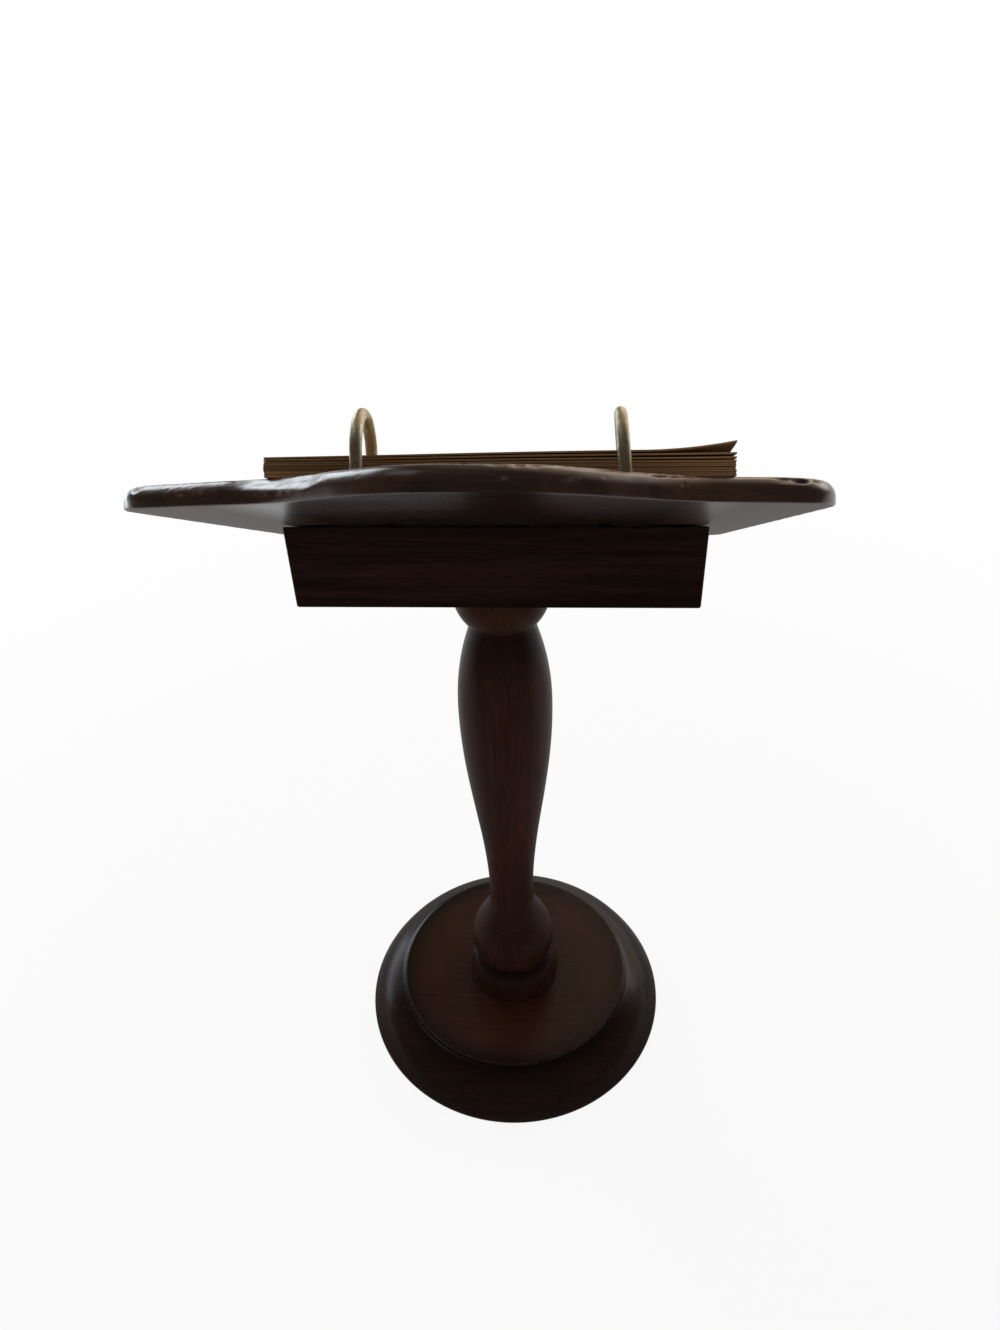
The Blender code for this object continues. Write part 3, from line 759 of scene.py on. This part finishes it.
def board_outline():
    """The board's outline in (X, V), anticlockwise, and the heights of its two faces."""
    points = to_board(node_points("reading_board"))
    low = points[:, 2].min()
    high = points[:, 2].max()
    ring = points[np.abs(points[:, 2] - low - BOARD_ARRIS) < 0.05 * MM][:, :2]
    ring = np.unique(np.round(ring, 6), axis=0)
    middle = (ring.min(0) + ring.max(0)) / 2
    order = np.argsort(np.arctan2(ring[:, 1] - middle[1], ring[:, 0] - middle[0]))
    return ring[order], low, high


def edge_section(thickness):
    """The edge from underside to top: (depth from the outline, height, outward share, upward share)."""
    section = [(depth, 0, 0, -1) for depth in UNDER_ROWS]
    for share in np.linspace(0, 1, ARRIS_STEPS):
        angle = math.pi / 2 * (share - 1)
        section.append((BOARD_ARRIS * (1 - math.cos(angle)), BOARD_ARRIS * (1 + math.sin(angle)),
                        math.cos(angle), math.sin(angle)))
    centre = thickness - BOARD_ROUND
    for share in (0.35, 0.7):
        section.append((0, BOARD_ARRIS + (centre - BOARD_ARRIS) * share, 1, 0))
    for angle in np.linspace(0, math.pi / 2, ROUND_STEPS):
        section.append((BOARD_ROUND * (1 - math.cos(angle)), centre + BOARD_ROUND * math.sin(angle),
                        math.cos(angle), math.sin(angle)))
    section += [(depth, thickness, 0, 1) for depth in TOP_ROWS]
    return np.array(section)


def edge_marks(outline, along, section_along, angles):
    """All marks as (place along, half length, place round, half width, depth, wear), in metres."""
    draw = random.Random(MARK_SEED)
    top = outline[:, 1] > TOP_EDGE_LOW

    def place(x):
        return along[np.argmin(np.where(top, np.abs(outline[:, 0] - x * MM), math.inf))]

    rows = [(place(x), *sizes) for x, *sizes in GOUGES + DENTS + SCUFFS_AND_GLINT]
    for _ in range(CHATTER_COUNT):
        x = draw.uniform(*CHATTER_SPAN)
        rows.append((place(x), *(draw.uniform(*span) for span in CHATTER_RANGES)))
    for _ in range(NICK_COUNT):
        anywhere = draw.uniform(0, along[-1])
        rows.append((anywhere, *(draw.uniform(*span) for span in NICK_RANGES)))
    marks = []
    for at, half, degrees, width, depth, wear in rows:
        round_place = np.interp(math.radians(degrees), angles, section_along)
        marks.append((at, half * MM, round_place, width * MM, depth * MM, wear))
    return marks


def rubbed_flat(outline, angles):
    """How far each point of the rounded edge is worn back to a flat, by angle and place."""
    low, high = RUBBED_SPAN
    across = outline[:, 0] / MM
    share = np.clip(np.minimum(across - low, high - across) / RUBBED_ENDS, 0, 1)
    share = share * share * (3 - 2 * share) * (outline[:, 1] > TOP_EDGE_LOW)
    half = RUBBED_HALF * share
    twist = RUBBED_TWIST * np.clip(across - (low + high) / 2, low - high, high - low) * share
    off = angles[:, None] - RUBBED_ANGLE - twist[None, :]
    return np.clip(BOARD_ROUND * (1 - np.cos(half)[None, :] / np.cos(off)), 0, None)


def edge_damage(outline, section):
    """How far the edge is pushed in, how rubbed it is and how far painted shade darkens it, by section point
    and outline point.
    """
    count = len(outline)
    along = np.arange(count) * EDGE_SPACING
    steps = np.linalg.norm(np.diff(section[:, :2], axis=0), axis=1)
    section_along = np.concatenate([[0], np.cumsum(steps)])
    round_end = len(section) - len(TOP_ROWS)
    rounded = slice(round_end - ROUND_STEPS, round_end)
    angles = np.linspace(0, math.pi / 2, ROUND_STEPS)
    push, wear, dirt_and_shade = np.zeros((3, len(section), count))
    push[rounded] = soften(rubbed_flat(outline, angles), RUBBED_SMOOTHING)
    marks = edge_marks(outline, along, section_along[rounded], angles)
    for place, half, centre, width, depth, rubbed in marks:
        span = np.abs(along - place)
        span = np.minimum(span, count * EDGE_SPACING - span)
        reach = (span[None, :] / half) ** 2 + ((section_along - centre)[:, None] / width) ** 2
        push = push + depth * np.clip(1 - reach, 0, 1) ** MARK_POWER
        wear = np.maximum(wear, rubbed * np.clip(1 - reach / WEAR_SPREAD, 0, 1))
        # painted shade in the gouges whose wear is below 0
        dirt_and_shade = np.maximum(dirt_and_shade, -rubbed * np.clip(GOUGE_SHADE_AMOUNT - GOUGE_SHADE_AMOUNT * reach, 0, 1))
    return push, wear, dirt_and_shade


def reading_board():
    """The board with a rounded, dented edge, before its holes are cut."""
    ring, low, high = board_outline()
    outline = soften(resample(ring, EDGE_SPACING), OUTLINE_SMOOTHING, closed=True)
    count = len(outline)
    ahead = np.roll(outline, -1, 0) - np.roll(outline, 1, 0)
    ahead /= np.linalg.norm(ahead, axis=1)[:, None]
    outward = np.stack([ahead[:, 1], -ahead[:, 0]], axis=1)
    section = edge_section(high - low)
    push, wear, dirt_and_shade = edge_damage(outline, section)
    points = []
    for j, (depth, height, out, up) in enumerate(section):
        for i in range(count):
            x, v = outline[i] - outward[i] * depth
            inward = 0.0
            if out != 0:
                uneven = EDGE_UNEVEN * (1 + noise.noise(Vector((x, v, height)) * EDGE_NOISE))
                inward = uneven + push[j, i]
            points.append((x - outward[i][0] * out * inward, v - outward[i][1] * out * inward,
                           low + height - up * inward))
    faces = [list(reversed(range(count))), list(range(len(points) - count, len(points)))]
    faces += ring_faces(len(section), count)
    piece = new_piece("reading_board_worn", from_board(points), faces, board_wood, "stand",
                      "reading_board")
    paint(piece, "wear", np.clip(wear, 0, 1))
    paint(piece, "dirt_and_shade", np.clip(dirt_and_shade, 0, 1))
    paint(piece, "bare", np.repeat(section[:, 3] == -1, count))
    return piece


board_piece = reading_board()


# Arches


def arch_frame(side):
    """Foot point on the board's face, leg direction and arch-plane direction of an arch."""
    axis = Vector(joints[side + "_arch_pull"]["axis"]).normalized()
    local = Vector((axis.dot(ACROSS), axis.dot(UPSLOPE), axis.dot(NORMAL)))
    twist = math.atan2(local.y, local.x) if math.hypot(local.x, local.y) > 0.001 else 0.0
    plane = UPSLOPE * math.cos(twist) - ACROSS * math.sin(twist)
    low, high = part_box(side + "_arch")
    middle = (low + high) / 2
    top = ARCH_RISE + ARCH_RADIUS + WIRE_RADIUS
    lean_shift = axis.x * (top - ARCH_LEG_DEPTH) / 2
    foot = AXIS_POINT + ACROSS * (middle.x - lean_shift) - NORMAL * ARCH_RISE
    return foot, axis, plane


def arch_path():
    """The wire's middle line as (place along the arch, height over the board) points."""
    rising = np.linspace(-ARCH_LEG_DEPTH, ARCH_RISE, ARCH_LEG_STEPS)[:-1]
    falling = np.linspace(ARCH_RISE, -ARCH_LEG_DEPTH, ARCH_LEG_STEPS)[1:]
    path = [(-ARCH_RADIUS, height) for height in rising]
    for angle in np.linspace(0, math.pi, ARCH_STEPS):
        path.append((-ARCH_RADIUS * math.cos(angle), ARCH_RISE + ARCH_RADIUS * math.sin(angle)))
    return path + [(ARCH_RADIUS, height) for height in falling]


def arch_piece(side):
    """One bent wire with softened ends and a slightly uneven surface."""
    foot, axis, plane = arch_frame(side)
    across = plane.cross(axis)
    path = [foot + plane * along + axis * height for along, height in arch_path()]
    last = len(path) - 1
    points = []
    for i, middle in enumerate(path):
        ahead = (path[min(i + 1, last)] - path[max(i - 1, 0)]).normalized()
        inward = across.cross(ahead)
        from_end = min(i, last - i)
        thickness = WIRE_RADIUS * (WIRE_ENDS[from_end] if from_end < len(WIRE_ENDS) else 1.0)
        for k in range(WIRE_SIDES):
            angle = 2 * math.pi * k / WIRE_SIDES
            out = across * math.cos(angle) + inward * math.sin(angle)
            radius = thickness - WIRE_UNEVEN * (1 + noise.noise((middle + out * 2 * MM) * WIRE_NOISE))
            points.append(middle + out * radius)
    faces = [list(range(WIRE_SIDES)), list(reversed(range(len(points) - WIRE_SIDES, len(points))))]
    faces += ring_faces(len(path), WIRE_SIDES)
    new_piece(side + "_arch_wire", points, faces, wire_brass, side + "_arch", side + "_arch")


arch_piece("left")
arch_piece("right")


# Screws, and the holes that arches and screws need in the board


def screw_place(side):
    """The middle of a board screw's head, its head and shank radius, and the height of its point."""
    points = to_board(node_points(side + "_board_screw"))
    top = points[points[:, 2] > points[:, 2].max() - 0.01 * MM]
    middle = top.mean(0)
    radius = np.linalg.norm(points[:, :2] - middle[:2], axis=1)
    shank = radius[points[:, 2] < points[:, 2].max() - 6 * MM].max()
    return middle, radius.max(), shank, points[:, 2].min()


def slot_cutter(side, middle, head):
    """A bar that cuts the slot across a screw's head."""
    slot_mesh = bpy.data.meshes.new("slot")
    shape = bmesh.new()
    bmesh.ops.create_cube(shape, size=1.0)
    bmesh.ops.scale(shape, vec=(3 * head, SCREW_SLOT, 2 * SCREW_SLOT), verts=shape.verts)
    shape.to_mesh(slot_mesh)
    shape.free()
    slot = bpy.data.objects.new("slot", slot_mesh)
    turn = Matrix(BOARD_AXES.T.tolist()).to_4x4() @ Matrix.Rotation(SLOT_TURNS[side], 4, "Z")
    slot.matrix_world = Matrix.Translation(Vector(from_board([middle])[0])) @ turn
    bpy.context.scene.collection.objects.link(slot)
    return slot


def screw_piece(side):
    """A countersunk screw with a slot across its head."""
    middle, head, shank, point = screw_place(side)
    length = middle[2] - point
    profile = [(head * SCREW_TOP_SHARE, -SCREW_SINK), (head, -SCREW_EASING), (head, -SCREW_RIM),
               (shank, -SCREW_HEAD), (shank, SCREW_POINT - length), (SCREW_TIP, -length)]
    points = [middle + np.array((0, 0, -SCREW_SINK))]
    for radius, height in profile:
        for k in range(SCREW_SIDES):
            angle = 2 * math.pi * k / SCREW_SIDES
            points.append(middle + np.array((radius * math.cos(angle), radius * math.sin(angle), height)))
    faces = [(0, 1 + k, 1 + (k + 1) % SCREW_SIDES) for k in range(SCREW_SIDES)]
    faces += ring_faces(len(profile), SCREW_SIDES, start=1)
    faces.append(list(range(len(points) - SCREW_SIDES, len(points))))
    name = side + "_board_screw"
    piece = new_piece(name + "_slotted", from_board(points), faces, screw_metal, "stand", name)
    cut_all(piece, [slot_cutter(side, middle, head)])
    piece.data.set_sharp_from_angle(angle=math.radians(35))


def board_hole_cutters():
    """Cutters for the arch sockets and for the countersunk screw holes."""
    made = []
    for side in ("left", "right"):
        foot, axis, plane = arch_frame(side)
        for along in (-ARCH_RADIUS, ARCH_RADIUS):
            made.append(round_cutter(foot + plane * along, axis, WIRE_RADIUS + SOCKET_CLEARANCE,
                                     -ARCH_LEG_DEPTH - SOCKET_CLEARANCE, SOCKET_CUT))
        middle, head, shank, _ = screw_place(side)
        base = Vector(from_board([middle])[0])
        wide = head + SOCKET_CLEARANCE
        narrow = shank + SOCKET_CLEARANCE
        made.append(round_cutter(base, NORMAL, wide, -SCREW_HOLE_RIM, SCREW_CUT))
        made.append(round_cutter(base, NORMAL, narrow, -SCREW_HOLE_HEAD, -SCREW_HOLE_RIM, wide))
    return made


screw_piece("left")
screw_piece("right")
cut_all(board_piece, board_hole_cutters())
weight_normals(board_piece)


# Cards


def card_points(order, node, right_height, left_height, shift, skew):
    """The grid of a card's lower and upper side, and how near to its rim each point is."""
    bounds = to_board(node_points(node))
    x_low, v_low, _ = bounds.min(0)
    x_high, v_high, _ = bounds.max(0)
    width = x_high - x_low
    length = v_high - v_low
    base = to_board(node_points("tenth_card"))[:, 2].min()
    lift = CURL_LIFTS.get(node, 0.0)
    own = order * CARD_UNEVEN_STEP
    points = []
    rims = []
    for side in (0, 1):
        for row in CARD_ROWS:
            for column in CARD_COLUMNS:
                border = 1.0 if min(column, 1 - column, row, 1 - row) < 0.0001 else 0.0
                x = x_low + width * column
                v = v_low + length * row
                x += border * CARD_UNEVEN * noise.noise(Vector((v * CARD_UNEVEN_NOISE, own, 0)))
                v += border * CARD_UNEVEN * noise.noise(Vector((x * CARD_UNEVEN_NOISE, own, 5)))
                rise = right_height + (left_height - right_height) * (1 - column)
                height = base + rise * MM + side * CARD_THICKNESS
                phase = column * CARD_WAVE_ACROSS + row * CARD_WAVE_ALONG + CARD_WAVE_START
                height += CARD_WAVE * (1 + math.sin(phase)) * row * (1 - column)
                buckle = Vector((x * CARD_BUCKLE_NOISE, v * CARD_BUCKLE_NOISE, order * CARD_BUCKLE_STEP))
                height += CARD_BUCKLE * noise.noise(buckle)
                corner = (x - x_low) + (v_high - v)
                height += lift * max(1 - corner / CURL_REACH, 0) ** 2
                points.append((x + shift[0] + skew * (v - v_high), v + shift[1], height))
                inner = min(column * width, (1 - column) * width, row * length, (1 - row) * length)
                rims.append(math.exp(-inner / CARD_RIM))
    return points, rims


def card_faces():
    """Faces of a card's two grids and of the cut edge between them."""
    wide = len(CARD_COLUMNS)
    tall = len(CARD_ROWS)
    lower = wide * tall
    faces = []
    for j in range(tall - 1):
        for i in range(wide - 1):
            a = j * wide + i
            faces.append((a, a + wide, a + wide + 1, a + 1))
            faces.append((lower + a, lower + a + 1, lower + a + wide + 1, lower + a + wide))
    loop = list(range(wide)) + [j * wide + wide - 1 for j in range(1, tall)]
    loop += [(tall - 1) * wide + i for i in reversed(range(wide - 1))]
    loop += [j * wide for j in reversed(range(1, tall - 1))]
    for a, b in zip(loop, loop[1:] + loop[:1]):
        faces.append((a, b, lower + b, lower + a))
    return faces


def card_hole_cutters():
    """Cutters for the two holes punched for the arches' near legs."""
    made = []
    for side in ("left", "right"):
        foot, axis, _ = arch_frame(side)
        hole = foot + axis * ARCH_RISE
        at = AXIS_POINT + ACROSS * hole.x - UPSLOPE * ARCH_RADIUS
        made.append(round_cutter(at, NORMAL, CARD_HOLE_RADIUS, *CARD_CUT))
    return made


def card_piece(order, node, right_height, left_height):
    """One old card: a thin wavy sheet with uneven cut edges, punched for the arches."""
    draw = random.Random(CARD_SEED + order)
    shift = (draw.uniform(*CARD_SHIFT_ACROSS), draw.uniform(*CARD_SHIFT_ALONG))
    skew = draw.uniform(*CARD_SKEW)
    tone = draw.uniform(*CARD_TONE_RANGE) * CARD_TONES[order]
    points, rims = card_points(order, node, right_height, left_height, shift, skew)
    look = card_paper("aged_card_%d" % order, tone)
    body = node if node in LOOSE_CARDS else "rear_cards"
    piece = new_piece(node + "_aged", from_board(points), card_faces(), look, body, node)
    paint(piece, "rim", rims)
    cut_all(piece, card_hole_cutters())
    piece.data.set_sharp_from_angle(angle=math.radians(40))


for order, (node, right_height, left_height) in enumerate(CARD_STACK):
    card_piece(order, node, right_height, left_height)


# Hidden dowels keep their solids
for node in ("base_dowel", "top_dowel"):
    for slot in frame["nodes"][node].material_slots:
        slot.material = dowel_wood


# Floor, light and camera


def background(tree, mirrored_level, mirrored_colour):
    """Direct and mirrored rays, and the strength and colour that they meet: white, or what is mirrored."""
    path = add_node(tree, "ShaderNodeLightPath")
    direct = arithmetic(tree, "MAXIMUM", path.outputs["Is Camera Ray"], path.outputs["Is Transmission Ray"])
    mirrored = path.outputs["Is Glossy Ray"]
    strength = add_node(tree, "ShaderNodeMix", {"Factor": mirrored, "A": 1.0, "B": mirrored_level})
    colour = mix_colour(tree, mirrored, WHITE, mirrored_colour)
    return direct, mirrored, strength.outputs["Result"], colour


def floor():
    """A plain white floor that keeps the object's soft shadow and runs into the white of the world."""
    mesh = bpy.data.meshes.new("floor")
    shape = bmesh.new()
    bmesh.ops.create_circle(shape, cap_ends=True, segments=64, radius=FLOOR_RADIUS)
    shape.to_mesh(mesh)
    shape.free()
    look, tree, shader = new_material("floor_white")
    shader.inputs["Base Color"].default_value = (FLOOR_GREY, FLOOR_GREY, FLOOR_GREY, 1)
    shader.inputs["Roughness"].default_value = 0.9
    shader.inputs["Specular IOR Level"].default_value = 0.0
    parts, place = split_place(tree, "Object")
    away = add_node(tree, "ShaderNodeVectorMath", {0: place}, operation="LENGTH").outputs["Value"]
    shadow = ramp(tree, away, *FLOOR_SHADOW_REACH, MIRRORED_SHADOW, 1.0)
    level = multiply(tree, ramp(tree, parts["Y"], *FLOOR_ROOM_REACH, 1.0, MIRRORED_ROOM), shadow)
    direct, mirrored, strength, colour = background(tree, level, WHITE)
    plain = ramp(tree, away, *FLOOR_PLAIN_REACH, FLOOR_PLAIN_SHARE, 1.0)
    share = arithmetic(tree, "MAXIMUM", multiply(tree, direct, plain), mirrored)
    glow = add_node(tree, "ShaderNodeEmission", {"Color": colour, "Strength": strength})
    mixed = add_node(tree, "ShaderNodeMixShader", {0: share, 1: shader.outputs["BSDF"],
                                                   2: glow.outputs["Emission"]})
    tree.links.new(mixed.outputs["Shader"], tree.nodes["Material Output"].inputs["Surface"])
    mesh.materials.append(look)
    piece = bpy.data.objects.new("floor", mesh)
    bpy.context.scene.collection.objects.link(piece)


def world():
    """White where it is seen; mirrored rays meet a warm, bright far wall and a dim room."""
    made = bpy.data.worlds.new("studio")
    made.use_nodes = True
    bpy.context.scene.world = made
    tree = made.node_tree
    back = tree.nodes["Background"]
    parts, _ = split_place(tree, "Generated")
    wall = multiply(tree, ramp(tree, parts["Y"], *WALL_END, 1.0, 0.0),
                    ramp(tree, parts["X"], *WALL_SIDE, 1.0, WALL_SIDE_LEVEL))
    mirrored_level = arithmetic(tree, "MAXIMUM", wall, MIRRORED_ROOM)
    direct, mirrored, strength, colour = background(tree, mirrored_level, ROOM_COLOUR)
    tree.links.new(colour, back.inputs["Color"])
    shown = arithmetic(tree, "MAXIMUM", direct, mirrored)
    level = add_node(tree, "ShaderNodeMix", {"Factor": shown, "A": WORLD_LIGHT, "B": strength})
    tree.links.new(level.outputs["Result"], back.inputs["Strength"])


def area_light(name, place, aim, size, power, colour):
    """A rectangular soft light that looks at a point."""
    data = bpy.data.lights.new(name, "AREA")
    data.shape = "RECTANGLE"
    data.size, data.size_y = size
    data.energy = power
    data.color = colour
    lamp = bpy.data.objects.new(name, data)
    lamp.location = place
    lamp.rotation_euler = (Vector(aim) - Vector(place)).to_track_quat("-Z", "Y").to_euler()
    bpy.context.scene.collection.objects.link(lamp)


def camera():
    """The photograph's camera."""
    data = bpy.data.cameras.new("photo_camera")
    data.sensor_fit = "VERTICAL"
    data.sensor_height = SENSOR
    data.lens = CAMERA_LENS
    data.clip_start = 0.01
    pitch, yaw, roll = (math.radians(angle) for angle in (CAMERA_PITCH, CAMERA_YAW, CAMERA_ROLL))
    ahead = Vector((math.sin(yaw) * math.cos(pitch), -math.cos(yaw) * math.cos(pitch), -math.sin(pitch)))
    level = ahead.cross(Vector((0, 0, 1))).normalized()
    upright = level.cross(ahead)
    right = level * math.cos(roll) + upright * math.sin(roll)
    up = upright * math.cos(roll) - level * math.sin(roll)
    turn = Matrix((right, up, -ahead)).transposed().to_4x4()
    view = bpy.data.objects.new("photo_camera", data)
    view.matrix_world = Matrix.Translation(CAMERA_PLACE) @ turn
    bpy.context.scene.collection.objects.link(view)
    bpy.context.scene.camera = view


floor()
world()
for lamp in LAMPS:
    area_light(*lamp)
camera()

bpy.context.scene.view_settings.view_transform = "Standard"
